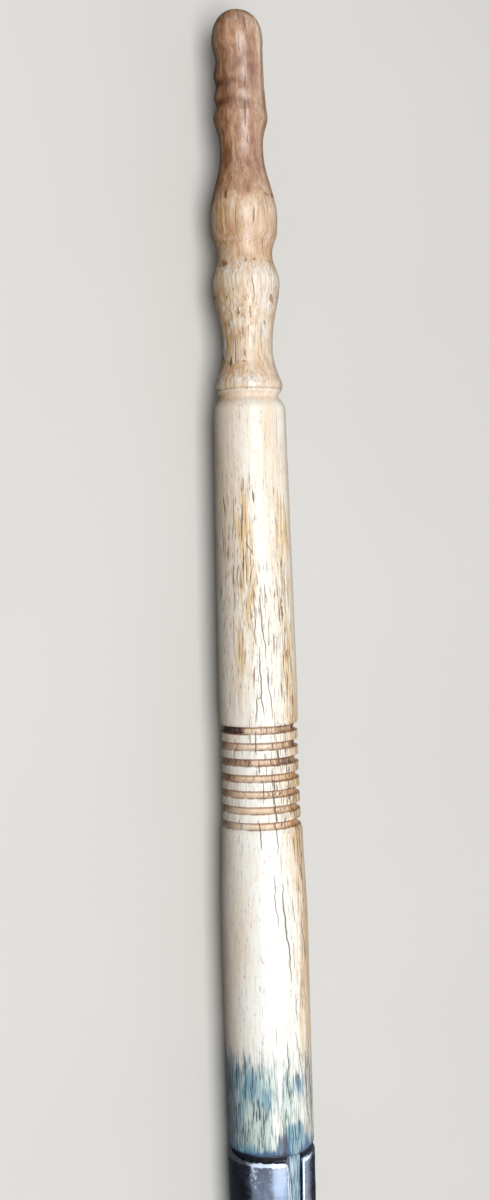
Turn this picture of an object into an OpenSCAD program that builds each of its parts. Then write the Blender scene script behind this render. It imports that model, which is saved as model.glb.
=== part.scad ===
// Hand scaler: a turned bone handle in a split steel sleeve that grips a removable hooked point.
// The handle lies along X, with its finial towards +X and the working tip towards -X. +Z is up.
// The origin is on the handle's axis, at the middle of the plain cylindrical grip.
// The XZ plane is a mirror plane: the sleeve's slit faces +Z and the hook points to -Z.

/* [Handle] */
// Diameter of the plain grip
grip_d = 8.3; // [8.1:0.1:8.6]
// Length of the plain grip
grip_length = 20; // [16:1:22]
// Distance from the sleeve's shoulder to the grooved band
swell_length = 30.6; // [29.5:0.1:34]
// Diameter of the shaft at the grooved band
shaft_low_d = 7.5; // [7.2:0.1:7.7]
// Diameter of the shaft at its finial end
shaft_high_d = 6.9; // [6.6:0.1:7.1]
// Length of the tapered shaft, from the grooved band to the finial
shaft_length = 31.5; // [20:0.5:45]

/* [Grooved band] */
// Number of turned grooves
groove_count = 7; // [3:1:9]
// Distance from one groove to the next
groove_pitch = 1.5; // [1.2:0.01:2]
// Width of a groove at its mouth
groove_width = 0.7; // [0.4:0.05:0.9]
// Depth of a groove
groove_depth = 0.38; // [0.1:0.01:0.5]

/* [Finial] */
// Diameter of the flared collar at the foot of the finial
collar_d = 6.44; // [6.2:0.02:6.7]
// Height of the finial above its joint with the shaft
finial_length = 35.5; // [34:0.1:40]
// Diameter of the spigot that holds the finial in the shaft
spigot_d = 3; // [2:0.1:3.4]
// Length of the spigot
spigot_length = 9; // [5:0.5:14]

/* [Sleeve] */
// Diameter of the rolled steel sleeve
sleeve_d = 8.4; // [8.3:0.1:8.7]
// Thickness of the sheet
sheet = 0.4; // [0.3:0.05:0.5]
// Gap between the bone shoulder and the sleeve, filled with pitch
shoulder_gap = 0.35; // [0.2:0.05:0.6]
// Length of the sleeve's straight part over the tenon
socket_length = 8.65; // [8:0.05:12]
// Draft of the socket: how much its radius falls over its length
socket_draft = 0.08; // [0.05:0.01:0.1]
// Length of the sleeve's taper
taper_length = 8; // [6:0.5:12]
// Length of the neck that grips the point
neck_length = 7; // [7:0.5:12]
// Width of the slit at the sleeve's rim
slit_w = 1.7; // [1:0.1:2.2]
// Width of the slit along the neck
neck_slit_w = 0.8; // [0.75:0.05:1]

/* [Clamp ring] */
// Outside diameter of the knurled ring
ring_d = 6; // [5.4:0.1:7]
// Width of the ring
ring_w = 3; // [2:0.1:3.2]
// Number of teeth in the knurl
knurl_count = 36; // [24:1:48]

/* [Scaler point] */
// Diameter of the tang
tang_d = 3.14; // [3.12:0.01:3.16]
// Length of the tang
tang_length = 20; // [18:0.5:20.5]
// Length of the straight tapered shank
shank_length = 18.4; // [12:0.2:26]
// Angle at which the shank rises before the hook
bend_angle = 20; // [10:1:30]
// Radius of that bend
bend_radius = 12; // [8:0.5:16]
// Straight lead between the bend and the hook
hook_lead = 3; // [1:0.5:6]
// Radius of the hook
hook_radius = 3; // [2.4:0.1:3.2]
// Radius of the blade's own curve
blade_radius = 7; // [6:0.5:10]

/* [Hidden] */
$fn = 96;

overlap = 0.5; // how far a cutter reaches past what it cuts
edge_break = 0.15;
edge_length = 0.4; // length over which the grip's shoulder edge is worn round
ridge_lead = 0.35; // narrow ridge before the first groove
lip_length = 0.5;
collar_gap = 0.1; // play between the sleeve's lip and the point's collar
curve_steps = 10;

grip_r = grip_d / 2;
sleeve_r = sleeve_d / 2;

// Places along X. The shoulder is where the bone meets the sleeve.
shoulder_x = -grip_length / 2 - edge_length;
grip_end_x = grip_length / 2;
swell_end_x = shoulder_x + swell_length;
band_length = (groove_count - 1) * groove_pitch + groove_width;
band_start_x = swell_end_x + ridge_lead;
band_end_x = band_start_x + band_length;
joint_x = band_end_x + shaft_length;
rim_x = shoulder_x - shoulder_gap;
taper_x = rim_x - socket_length;
neck_x = taper_x - taper_length;
neck_end_x = neck_x - neck_length;
sleeve_end_x = neck_end_x - lip_length;
collar_x = sleeve_end_x - collar_gap;
tang_start_x = collar_x + tang_length;

// The tenon fills the sleeve, and is bored for the tang.
tenon_clearance = 0.05;
tenon_r = sleeve_r - sheet - tenon_clearance;
tenon_length = 8.6;
running_clearance = 0.03;
tenon_end_x = shoulder_x - tenon_length;
tang_bore_r = tang_d / 2 + running_clearance;
tang_bore_end_x = tang_start_x + 1;

// The spigot sits in a film of cement.
cement_film = 0.1;
cement_end = 0.3;
spigot_bore_r = spigot_d / 2 + cement_film;

// The rivet that keeps the sleeve on the tenon
pin_d = 0.9;
pin_setback = 4.4;
pin_x = shoulder_x - pin_setback;
pin_inner_r = 2.2;

// The neck of the sleeve and what it holds
neck_inner_r = tang_bore_r;
neck_outer_r = neck_inner_r + sheet;
lip_r = 2.3;
ring_bore_r = neck_outer_r + running_clearance;
ring_setback = 0.4;
ring_x = neck_end_x + ring_setback;
lug_play = 0.1;
lug_w = neck_slit_w - lug_play;
lug_r = neck_outer_r - 0.05;
lug_length = 3;
lug_setback = 1;
point_collar_w = 1;

// Turned outlines: each station is [place along X, radius, bias]. The surface runs to the next
// station in a half wave, and the bias moves the steep part of that wave to one end or the other.
function half_wave(t, bias) = (1 - cos(180 * pow(t, bias))) / 2;

function wave_between(from, to) = [
    for (step = [0:curve_steps - 1])
        let (t = step / curve_steps)
        [
            from[1] + (to[1] - from[1]) * half_wave(t, from[2]),
            from[0] + (to[0] - from[0]) * t
        ]
];

function turned(stations) = [
    for (i = [0:len(stations) - 2])
        each wave_between(stations[i], stations[i + 1])
];

// A dome that rises from radius r at x to its tip, a little fuller than half an ellipse
dome_power = 2.3;
function dome(x, r, height) = [
    for (angle = [0:6:90])
        [
            r * pow(cos(angle), 2 / dome_power),
            x + height * pow(sin(angle), 2 / dome_power)
        ]
];

// One groove of the band, as half an ellipse cut into the surface
function groove(centre, surface_r) = [
    for (angle = [180:-20:0])
        [surface_r - groove_depth * sin(angle), centre + groove_width / 2 * cos(angle)]
];

// The axis of every turned shape is X.
module turn() {
    rotate([0, 90, 0])
        rotate_extrude()
            children();
}

module rod(from, to, r) {
    translate([from, 0, 0])
        rotate([0, 90, 0])
            cylinder(r = r, h = to - from);
}

// ---- bone handle ----

shaft_low_r = shaft_low_d / 2;
shaft_high_r = shaft_high_d / 2;
seat_r = collar_d / 2 - 0.1;

// The shaft narrows to a waist just before the seat of the finial.
head_length = 4.5;
head_waist_r = 2.78;

// The ridges between the grooves thin a little towards the finial.
low_ridge_r = shaft_low_r + 0.02;
high_ridge_r = shaft_low_r - 0.09;
function ridge_r(i) = low_ridge_r + (high_ridge_r - low_ridge_r) * i / (groove_count - 1);

tenon_and_grip = [
    [0, tenon_end_x],
    [tenon_r - socket_draft - edge_break, tenon_end_x],
    [tenon_r - socket_draft, tenon_end_x + edge_break],
    [tenon_r, shoulder_x],
    [grip_r - edge_break, shoulder_x],
    [grip_r - edge_break / 3, shoulder_x + edge_break],
    [grip_r, shoulder_x + edge_length]
];

swell = turned([
    [grip_end_x, grip_r, 1.2],
    [swell_end_x - 0.2, grip_r - 0.25, 1],
    [band_start_x, low_ridge_r, 1]
]);

grooved_band = [
    for (i = [0:groove_count - 1])
        let (centre = band_start_x + groove_width / 2 + i * groove_pitch)
        each groove(centre, ridge_r(i))
];

shaft_taper = turned([
    [band_end_x + 0.3, shaft_low_r, 1],
    [band_end_x + 4, shaft_low_r + 0.01, 1]
]);

shaft_head = turned([
    [joint_x - head_length, shaft_high_r, 1],
    [joint_x - 1.9, shaft_high_r - 0.02, 1.3],
    [joint_x - 0.55, head_waist_r, 1],
    [joint_x, seat_r, 1]
]);

module handle_shaft() {
    outline = concat(
        tenon_and_grip,
        swell,
        grooved_band,
        shaft_taper,
        shaft_head,
        [[seat_r, joint_x], [0, joint_x]]
    );
    color("ivory")
        difference() {
            turn() polygon(outline);
            rod(tenon_end_x - overlap, tang_bore_end_x, tang_bore_r);
            rod(joint_x - spigot_length - cement_end, joint_x + overlap, spigot_bore_r);
            translate([pin_x, 0, -sleeve_r])
                cylinder(r = pin_d / 2, h = sleeve_r - pin_inner_r);
        }
}

// ---- finial ----

// Beads and coves from the collar to the dome, with x as the height above the joint
finial_beads = [
    [0.40, collar_d / 2, 0.66], // flared collar
    [3.80, 2.39, 1.20], // long cove
    [10.16, 3.21, 1], // lower bead
    [12.70, 2.59, 1.1], // neck between the beads
    [15.00, 3.15, 1], // lower edge of the great bead
    [16.10, 3.20, 1], // great bead
    [22.30, 2.03, 1.7], // cove under the cap
    [25.55, 2.58, 1], // cap bead
    [26.67, 2.24, 1], // lower notch
    [27.50, 2.42, 1], // middle bead
    [28.45, 2.18, 1], // upper notch
    [29.36, 2.36, 1], // thin bead
    [30.84, 2.22, 1] // neck of the dome
];
bead_table_length = 35.5;
dome_height = 3;
dome_r = 2.40;
finial_scale = (finial_length - dome_height) / (bead_table_length - dome_height);

module finial() {
    beads = [
        for (bead = finial_beads)
            [joint_x + bead[0] * finial_scale, bead[1], bead[2]]
    ];
    dome_x = joint_x + finial_length - dome_height;
    outline = concat(
        [
            [0, joint_x - spigot_length],
            [spigot_d / 2 - edge_break, joint_x - spigot_length],
            [spigot_d / 2, joint_x - spigot_length + edge_break],
            [spigot_d / 2, joint_x],
            [collar_d / 2 - edge_break, joint_x]
        ],
        turned(concat(beads, [[dome_x, dome_r, 1]])),
        dome(dome_x, dome_r, dome_height)
    );
    color("burlywood")
        turn() polygon(outline);
}

// Shellac cement around the spigot and under its end
module finial_cement() {
    color("saddlebrown")
        difference() {
            rod(joint_x - spigot_length - cement_end, joint_x, spigot_bore_r);
            rod(joint_x - spigot_length, joint_x + overlap, spigot_d / 2);
        }
}

// Ring of black pitch between the bone shoulder and the sleeve's rim, open at the slit
module pitch_seal() {
    recess = 0.25;
    color("black")
        difference() {
            rod(rim_x, shoulder_x, sleeve_r - recess);
            rod(rim_x - overlap, shoulder_x + overlap, tenon_r);
            translate([rim_x - overlap, -slit_w / 2, 0])
                cube([shoulder_gap + 2 * overlap, slit_w, sleeve_d]);
        }
}

// ---- sleeve ----

// Half of the slit's plan outline, from the rim to the open end, with a rounded corner at the rim.
// It narrows a little along the socket, then closes to the neck.
corner_r = 0.35;
slit_narrowing = 0.1;
slit_side = concat(
    [[rim_x + overlap, slit_w / 2 + corner_r]],
    [
        for (angle = [0:15:90])
            [
                rim_x - corner_r * (1 - cos(angle)),
                slit_w / 2 + corner_r * (1 - sin(angle))
            ]
    ],
    [
        [taper_x, slit_w / 2 - slit_narrowing],
        [neck_x, neck_slit_w / 2],
        [sleeve_end_x - overlap, neck_slit_w / 2]
    ]
);

function mirrored(points) = [
    for (i = [len(points) - 1:-1:0])
        [points[i][0], -points[i][1]]
];

module slit_cutter() {
    linear_extrude(height = sleeve_r + overlap)
        polygon(concat(slit_side, mirrored(slit_side)));
}

module split_sleeve() {
    rim_bevel = 0.3;
    rim_land = 0.1;
    outline = [
        [sleeve_r - sheet, rim_x],
        [sleeve_r - sheet + rim_land, rim_x],
        [sleeve_r, rim_x - rim_bevel],
        [sleeve_r - socket_draft, taper_x],
        [neck_outer_r, neck_x],
        [neck_outer_r, neck_end_x],
        [lip_r, neck_end_x],
        [lip_r, sleeve_end_x + edge_break],
        [lip_r - edge_break, sleeve_end_x],
        [neck_inner_r, sleeve_end_x],
        [neck_inner_r, neck_x],
        [sleeve_r - socket_draft - sheet, taper_x]
    ];
    color("slategray")
        difference() {
            turn() polygon(outline);
            slit_cutter();
            translate([pin_x, 0, -sleeve_r - overlap])
                cylinder(r = pin_d / 2, h = sleeve_r);
        }
}

// Rivet through the back of the sleeve into the tenon, filed flush
module sleeve_pin() {
    color("dimgray")
        intersection() {
            translate([pin_x, 0, -sleeve_r - overlap])
                cylinder(r = pin_d / 2, h = sleeve_r + overlap - pin_inner_r);
            rod(pin_x - pin_d, pin_x + pin_d, sleeve_r);
        }
}

// ---- clamp ring ----

module clamp_ring() {
    tooth_depth = 0.16;
    chamfer = 0.35;
    ring_r = ring_d / 2;
    knurl = [
        for (i = [0:2 * knurl_count - 1])
            let (
                angle = 180 * i / knurl_count,
                r = ring_r - (i % 2) * tooth_depth
            )
            [r * cos(angle), r * sin(angle)]
    ];
    envelope = [
        [ring_bore_r, ring_x],
        [ring_r - chamfer, ring_x],
        [ring_r + edge_break, ring_x + chamfer + edge_break],
        [ring_r + edge_break, ring_x + ring_w - chamfer - edge_break],
        [ring_r - chamfer, ring_x + ring_w],
        [ring_bore_r, ring_x + ring_w]
    ];
    color("gray")
        intersection() {
            turn() polygon(envelope);
            translate([ring_x - overlap, 0, 0])
                rotate([0, 90, 0])
                    linear_extrude(height = ring_w + 2 * overlap)
                        polygon(knurl);
        }
}

// ---- scaler point ----

shank_x = collar_x - point_collar_w;
bend_x = shank_x - shank_length;
shank_root_r = 1.75;
shank_root_length = 1.6;
shank_start_r = 1.5;
shank_end_r = 0.8;

// The path of the shank past its straight part: [x, z, heading], with the heading in degrees
// above -X. An arc that turns by a positive angle rises.
function along_arc(start, radius, turn_angle) =
    let (
        heading = start[2] + turn_angle,
        signed = turn_angle > 0 ? radius : -radius
    )
    [
        start[0] - signed * (sin(heading) - sin(start[2])),
        start[1] + signed * (cos(start[2]) - cos(heading)),
        heading
    ];

function along_line(start, distance) = [
    start[0] - distance * cos(start[2]),
    start[1] + distance * sin(start[2]),
    start[2]
];

bend_start = [bend_x, 0, 0];
bend_end = along_arc(bend_start, bend_radius, bend_angle);
hook_start = along_line(bend_end, hook_lead);
hook_turn = -90 - bend_angle;
hook_end = along_arc(hook_start, hook_radius, hook_turn);
// The blade curls on until its tip is level with the underside of the sleeve.
tip_allowance = 0.04;
blade_angle = asin((sleeve_r - tip_allowance + hook_end[1]) / blade_radius);

// The path starts inside the shank. Each arc's first ring is turned by a hair, never by zero.
hook_root = 0.3;
hair = 0.001;
bend_steps = 6;
hook_steps = 18;
blade_steps = 16;
hook_path = concat(
    [[bend_x + hook_root, 0, 0]],
    [
        for (i = [0:bend_steps])
            along_arc(bend_start, bend_radius, bend_angle * i / bend_steps + hair)
    ],
    [
        for (i = [0:hook_steps])
            along_arc(hook_start, hook_radius, hook_turn * i / hook_steps - hair)
    ],
    [
        for (i = [1:blade_steps])
            along_arc(hook_end, blade_radius, -blade_angle * i / blade_steps)
    ]
);
first_blade_ring = 1 + bend_steps + 1 + hook_steps + 1;
last_ring = len(hook_path) - 1;

// How far the section has changed from round to three-sided, from 0 to 1. The change begins
// sharpen_before rings ahead of the blade and takes sharpen_rings rings.
sharpen_before = 10;
sharpen_rings = 12;
function sharpness(ring) = half_wave(
    min(1, max(0, (ring - first_blade_ring + sharpen_before) / sharpen_rings)), 1
);

// Radius of the section's corners: the shank thins evenly, then the blade tapers to its tip.
hook_r = 0.62;
tip_r = 0.1;
blade_taper = 1.5;
function section_r(ring) = ring < first_blade_ring
    ? shank_end_r - 0.01 + (hook_r - shank_end_r) * ring / first_blade_ring
    : hook_r + (tip_r - hook_r)
        * pow((ring - first_blade_ring + 1) / (last_ring - first_blade_ring + 1), blade_taper);

// A section between a circle and a triangle whose flat side faces the inside of the hook
section_points = 24;
flatness = 0.92; // 1 would make the sides quite flat
blade_growth = 0.2; // the triangle is larger than the circle, to keep its area
function corner_pull(angle, sharp) =
    let (from_corner = abs((angle + 30) % 120 - 60))
    1 + sharp * (0.5 / cos(60 - from_corner) - 1) * flatness;

function section_point(path, r, angle, sharp) =
    let (
        reach = r * corner_pull(angle, sharp) * (1 + blade_growth * sharp),
        across = reach * cos(angle),
        outward = reach * sin(angle)
    )
    [
        path[0] + outward * sin(path[2]),
        across,
        path[1] + outward * cos(path[2])
    ];

hook_points = [
    for (ring = [0:last_ring])
        for (i = [0:section_points - 1])
            section_point(
                hook_path[ring],
                section_r(ring),
                360 * i / section_points,
                sharpness(ring)
            )
];

function wrapped(ring, i) = ring * section_points + i % section_points;

hook_faces = concat(
    [[for (i = [section_points - 1:-1:0]) i]],
    [
        for (ring = [0:last_ring - 1])
            for (i = [0:section_points - 1])
                each [
                    [wrapped(ring, i), wrapped(ring + 1, i + 1), wrapped(ring + 1, i)],
                    [wrapped(ring, i), wrapped(ring, i + 1), wrapped(ring + 1, i + 1)]
                ]
    ],
    [[for (i = [0:section_points - 1]) last_ring * section_points + i]]
);

module scaler_point() {
    tang_r = tang_d / 2;
    tang_bevel = 0.4;
    outline = concat(
        [
            [0, tang_start_x],
            [tang_r - tang_bevel, tang_start_x],
            [tang_r, tang_start_x - 2 * tang_bevel],
            [tang_r, collar_x],
            [lip_r - edge_break, collar_x],
            [lip_r, collar_x - edge_break],
            [lip_r, shank_x + edge_break],
            [lip_r - edge_break, shank_x]
        ],
        turned([
            [shank_x - 0.01, shank_root_r, 1],
            [shank_x - shank_root_length, shank_start_r, 1]
        ]),
        [
            [shank_start_r, shank_x - shank_root_length],
            [shank_end_r, bend_x],
            [0, bend_x]
        ]
    );
    color("lightslategray")
        union() {
            turn() polygon(outline);
            translate([neck_end_x + lug_setback, -lug_w / 2, 0])
                cube([lug_length, lug_w, lug_r]);
            polyhedron(hook_points, hook_faces);
        }
}

handle_shaft();
finial();
finial_cement();
pitch_seal();
split_sleeve();
sleeve_pin();
clamp_ring();
scaler_point();
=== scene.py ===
"""Looks of the hand scaler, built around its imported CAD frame.

The frame is in metres. Shapes here are worked out in millimetres and turned into metres when a
mesh is made. x runs along the handle towards the finial, and an angle round the handle is
counted from +Z, where the sleeve's slit is, towards +Y.
"""

import math

import bpy
import numpy as np
from mathutils import Matrix, Vector


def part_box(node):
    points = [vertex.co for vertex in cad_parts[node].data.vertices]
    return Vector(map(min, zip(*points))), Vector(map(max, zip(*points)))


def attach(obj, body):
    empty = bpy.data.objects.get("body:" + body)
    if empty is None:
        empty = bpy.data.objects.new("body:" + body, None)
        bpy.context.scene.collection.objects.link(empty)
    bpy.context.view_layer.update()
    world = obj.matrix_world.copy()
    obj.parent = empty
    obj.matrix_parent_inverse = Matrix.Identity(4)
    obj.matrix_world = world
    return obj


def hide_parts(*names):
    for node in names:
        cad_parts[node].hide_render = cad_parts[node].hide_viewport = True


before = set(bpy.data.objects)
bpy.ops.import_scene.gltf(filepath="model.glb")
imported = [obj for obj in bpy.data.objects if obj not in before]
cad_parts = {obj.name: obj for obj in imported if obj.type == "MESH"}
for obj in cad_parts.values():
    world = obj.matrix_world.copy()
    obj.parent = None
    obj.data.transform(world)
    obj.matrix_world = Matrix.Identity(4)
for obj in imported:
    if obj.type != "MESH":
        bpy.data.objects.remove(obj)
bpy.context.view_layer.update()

MM = 0.001


# ---- places and sizes, in mm ----

def box_mm(node):
    low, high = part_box(node)
    return np.array(low) / MM, np.array(high) / MM


seal_low, seal_high = box_mm("pitch_seal")
shaft_low, shaft_high = box_mm("handle_shaft")
finial_low, finial_high = box_mm("finial")
sleeve_low, sleeve_high = box_mm("split_sleeve")
ring_low, ring_high = box_mm("clamp_ring")
pin_low, pin_high = box_mm("sleeve_pin")

SHOULDER_X = seal_high[0]
RIM_X = seal_low[0]
SHAFT_END_X = shaft_low[0]
JOINT_X = shaft_high[0]
TIP_X = finial_high[0]
SLEEVE_END_X = sleeve_low[0]
SLEEVE_R = sleeve_high[1]
SEAL_R = seal_high[1]
RING_R = ring_high[1]
PIN_X = (pin_low[0] + pin_high[0]) / 2
PIN_R = (pin_high[0] - pin_low[0]) / 2

# The sleeve's sheet, as the CAD part has it
SHEET = 0.4
SOCKET_DRAFT = 0.08
SOCKET_LENGTH = 8.65
TAPER_LENGTH = 8.0
LIP_LENGTH = 0.5
LIP_R = 2.3
NECK_INNER_R = 1.6
NECK_OUTER_R = NECK_INNER_R + SHEET
SLIT_W = 1.7
NECK_SLIT_W = 0.8
TAPER_X = RIM_X - SOCKET_LENGTH
NECK_X = TAPER_X - TAPER_LENGTH
NECK_END_X = SLEEVE_END_X + LIP_LENGTH
TENON_CLEARANCE = 0.05
TENON_R = SLEEVE_R - SHEET - TENON_CLEARANCE
TENON_END_R = 2.0
EDGE_BREAK = 0.15
SLIT_NARROWING = 0.1


# ---- number fields on a turned surface ----

def smooth(low, high, value):
    """0 below low, 1 above high, and an S-curve between them."""
    t = np.clip((value - low) / (high - low), 0.0, 1.0)
    return t * t * (3 - 2 * t)


def angle_between(a, b):
    """a - b in degrees, wrapped to -180..180."""
    return (a - b + 180.0) % 360.0 - 180.0


def grain(seed, x, angle, cell_x, cells_round):
    """Smooth random field of -1..1 over x in mm and angle in degrees, with cells cell_x long."""
    rng = np.random.default_rng(seed)
    u = (x - x.min()) / cell_x
    v = (angle % 360.0) / 360.0 * cells_round
    values = rng.uniform(-1, 1, (int(u.max()) + 3, cells_round))
    i, j = u.astype(int), v.astype(int) % cells_round
    fu, fv = smooth(0, 1, u - u.astype(int)), smooth(0, 1, v - v.astype(int))
    j2 = (j + 1) % cells_round
    behind = values[i, j] * (1 - fv) + values[i, j2] * fv
    ahead = values[i + 1, j] * (1 - fv) + values[i + 1, j2] * fv
    return behind * (1 - fu) + ahead * fu


def near(value, centre, half):
    """A soft hump, 1 at its centre and about 0.37 at half away from it."""
    return np.exp(-(((value - centre) / half) ** 2))


def near_angle(angle, centre, half):
    return near(angle_between(angle, centre), 0, half)


def patch(x, angle, centre_x, centre_angle, half_x, half_angle):
    """A soft patch on the surface, 1 at its centre and about 0.37 at its half sizes."""
    return near(x, centre_x, half_x) * near_angle(angle, centre_angle, half_angle)


def patches(x, angle, rows):
    """The sum of soft patches, each (amount, x, angle, half x, half angle)."""
    return sum(amount * patch(x, angle, *place) for amount, *place in rows)


# ---- cracks ----

# Distance at which a crack's signed distance is cut off, in mm
GAP_REACH = 0.2


def wander(seed, span):
    """A gentle random sway, in degrees, as a function of the distance along a crack."""
    rng = np.random.default_rng(seed)
    shift = rng.uniform(0, 2 * math.pi, 4)
    waves = list(zip((0.8, 2.1, 4.7, 8.5), shift, (1.0, 0.7, 0.35, 0.15)))
    scale = min(1.0, 0.3 + span / 6)
    return lambda along: scale * sum(np.sin(along * rate + at) * size for rate, at, size in waves)


def crack_fields(cracks, seed, x, angle, r):
    """Fields for thin cracks.

    Each crack is (start x, start angle, end x, end angle, width, depth).
    gap is the signed distance to the nearest crack, as a share of GAP_REACH, so that it crosses
    zero along the crack and a shader can draw a line thinner than the mesh. reach is the crack's
    width where it may be drawn, and 0 elsewhere. deep is how far the surface sinks.
    """
    gap, reach, deep = np.ones_like(x), np.zeros_like(x), np.zeros_like(x)
    nearest = np.full_like(x, 3 * GAP_REACH)
    for number, (start, start_angle, end, end_angle, width, depth) in enumerate(cracks):
        span = abs(end - start)
        t = (x - start) / (end - start)
        middle = start_angle + (end_angle - start_angle) * t
        middle += wander(seed + number, span)(t * span)
        away = angle_between(angle, middle) * math.pi / 180 * r
        closer = (np.abs(t - 0.5) < 0.5 + 0.3 / span) & (np.abs(away) < nearest)
        gap = np.where(closer, np.clip(away / GAP_REACH, -1, 1), gap)
        nearest = np.where(closer, np.abs(away), nearest)
        taper = np.clip(4 * t * (1 - t), 0, 1) ** 0.4 * (np.abs(t - 0.5) < 0.5)
        close = smooth(1.3 * GAP_REACH, GAP_REACH, np.abs(away))
        reach = np.maximum(reach, width * taper * close)
        deep = np.maximum(deep, depth * taper * near(away, 0, 0.09))
    return gap, reach, deep


# ---- meshes ----

def new_object(name, vertices, faces):
    """A smooth-shaded object from mm vertices and a list of faces."""
    mesh = bpy.data.meshes.new(name)
    mesh.from_pydata((np.asarray(vertices) * MM).tolist(), [], faces)
    mesh.polygons.foreach_set("use_smooth", [True] * len(mesh.polygons))
    mesh.update()
    obj = bpy.data.objects.new(name, mesh)
    bpy.context.scene.collection.objects.link(obj)
    return obj


def set_field(obj, name, values):
    attribute = obj.data.attributes.new(name, "FLOAT", "POINT")
    attribute.data.foreach_set("value", np.asarray(values, np.float32).ravel())


def outline_of(node, least_r=0.0, from_x=-1e9):
    """The outermost (x, r) points of a turned CAD node, past from_x, without its bores."""
    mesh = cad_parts[node].data
    points = np.zeros(len(mesh.vertices) * 3)
    mesh.vertices.foreach_get("co", points)
    points = points.reshape(-1, 3) / MM
    x = points[:, 0].round(3)
    r = np.hypot(points[:, 1], points[:, 2])
    kept = (r >= least_r) & (x >= from_x - 0.001)
    x, r = x[kept], r[kept]
    return [(place, r[x == place].max()) for place in np.unique(x)]


def resampled(outline, spacing, rounding=1):
    """Points along an outline, with its corners rounded a little.

    spacing is a distance in mm, or a function of x that gives one.
    """
    outline = np.array(outline, float)
    steps = np.hypot(*np.diff(outline, axis=0).T)
    along = np.concatenate([[0], np.cumsum(steps)])
    fine = np.linspace(0, along[-1], 4000)
    fine_x = np.interp(fine, along, outline[:, 0])
    wanted = spacing(fine_x) if callable(spacing) else np.full_like(fine, spacing)
    ticks = np.concatenate([[0], np.cumsum(np.diff(fine) / wanted[1:])])
    count = max(3, int(round(ticks[-1])))
    places = np.interp(np.linspace(0, ticks[-1], count + 1), ticks, fine)
    points = np.stack([np.interp(places, along, outline[:, k]) for k in (0, 1)], axis=1)
    for _ in range(rounding):
        points[1:-1] = (points[:-2] + 2 * points[1:-1] + points[2:]) / 4
    return points


def all_round(count):
    return np.arange(count) * 360.0 / count


def turned_grid(points, angles):
    """x, angle and r arrays of shape (points, angles) for an outline turned about the X axis."""
    x, angle = np.meshgrid(points[:, 0], angles, indexing="ij")
    return x, angle, np.repeat(points[:, 1:], len(angles), axis=1)


def round_points(x, angle, r):
    a = np.radians(angle)
    return np.stack([x, r * np.sin(a), r * np.cos(a)], axis=-1)


def quads(index):
    """Faces between the neighbours in a grid of vertex numbers."""
    corners = (index[:-1, :-1], index[1:, :-1], index[1:, 1:], index[:-1, 1:])
    return np.stack(corners, axis=-1).reshape(-1, 4).tolist()


def wrapped(index, axis):
    """A grid of vertex numbers with its first row or column repeated past its last."""
    return np.concatenate([index, np.take(index, [0], axis=axis)], axis=axis)


def fan(ring, pole):
    """Triangles between a pole and a ring of vertex numbers."""
    return [(pole, int(a), int(b)) for a, b in zip(ring, np.roll(ring, -1))]


def capped_tube(grid, first_pole, last_pole):
    """Vertices and faces of a closed tube through a grid of points, with a pole at each end."""
    index = np.arange(grid.size // 3).reshape(grid.shape[:2])
    vertices = np.vstack([grid.reshape(-1, 3), [first_pole], [last_pole]])
    faces = quads(wrapped(index, 1)) + fan(index[0], index.size)
    return vertices, faces + fan(index[-1, ::-1], index.size + 1)


def turned_mesh(name, x, angle, r, lean):
    """A closed surface from a turned grid, with a point on its axis at each end.

    lean is the sideways shift of the axis, along +Y, over the grid.
    """
    grid = round_points(x, angle, r)
    grid[..., 1] += lean
    ends = [(x[row, 0], lean[row, 0], 0) for row in (0, -1)]
    return new_object(name, *capped_tube(grid, *ends))


def grid_field(obj, name, values):
    """A field on a turned mesh, with 0 at the two axis points."""
    set_field(obj, name, np.concatenate([np.asarray(values).ravel(), [0, 0]]))


# ---- materials ----

def linear(colour):
    """A colour written as 0-255 sRGB values, as linear RGBA."""
    c = np.array(colour, float) / 255
    low, high = c / 12.92, ((c + 0.055) / 1.055) ** 2.4
    return (*np.where(c <= 0.04045, low, high), 1.0)


class Nodes:
    """Builds a node tree by chaining small functions that return sockets."""

    def __init__(self, tree):
        self.tree = tree

    def put(self, socket, value):
        if isinstance(value, bpy.types.NodeSocket):
            self.tree.links.new(value, socket)
        else:
            socket.default_value = value

    def node(self, kind, *values, **settings):
        """A new node with its own settings and with values on its first inputs."""
        node = self.tree.nodes.new("ShaderNode" + kind)
        for name, setting in settings.items():
            setattr(node, name, setting)
        for socket, value in zip(node.inputs, values):
            self.put(socket, value)
        return node

    def pick(self, factor, a, b):
        """The number a where factor is 0 and b where it is 1."""
        node = self.node("Mix", factor)
        self.put(node.inputs[2], a)
        self.put(node.inputs[3], b)
        return node.outputs[0]


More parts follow.
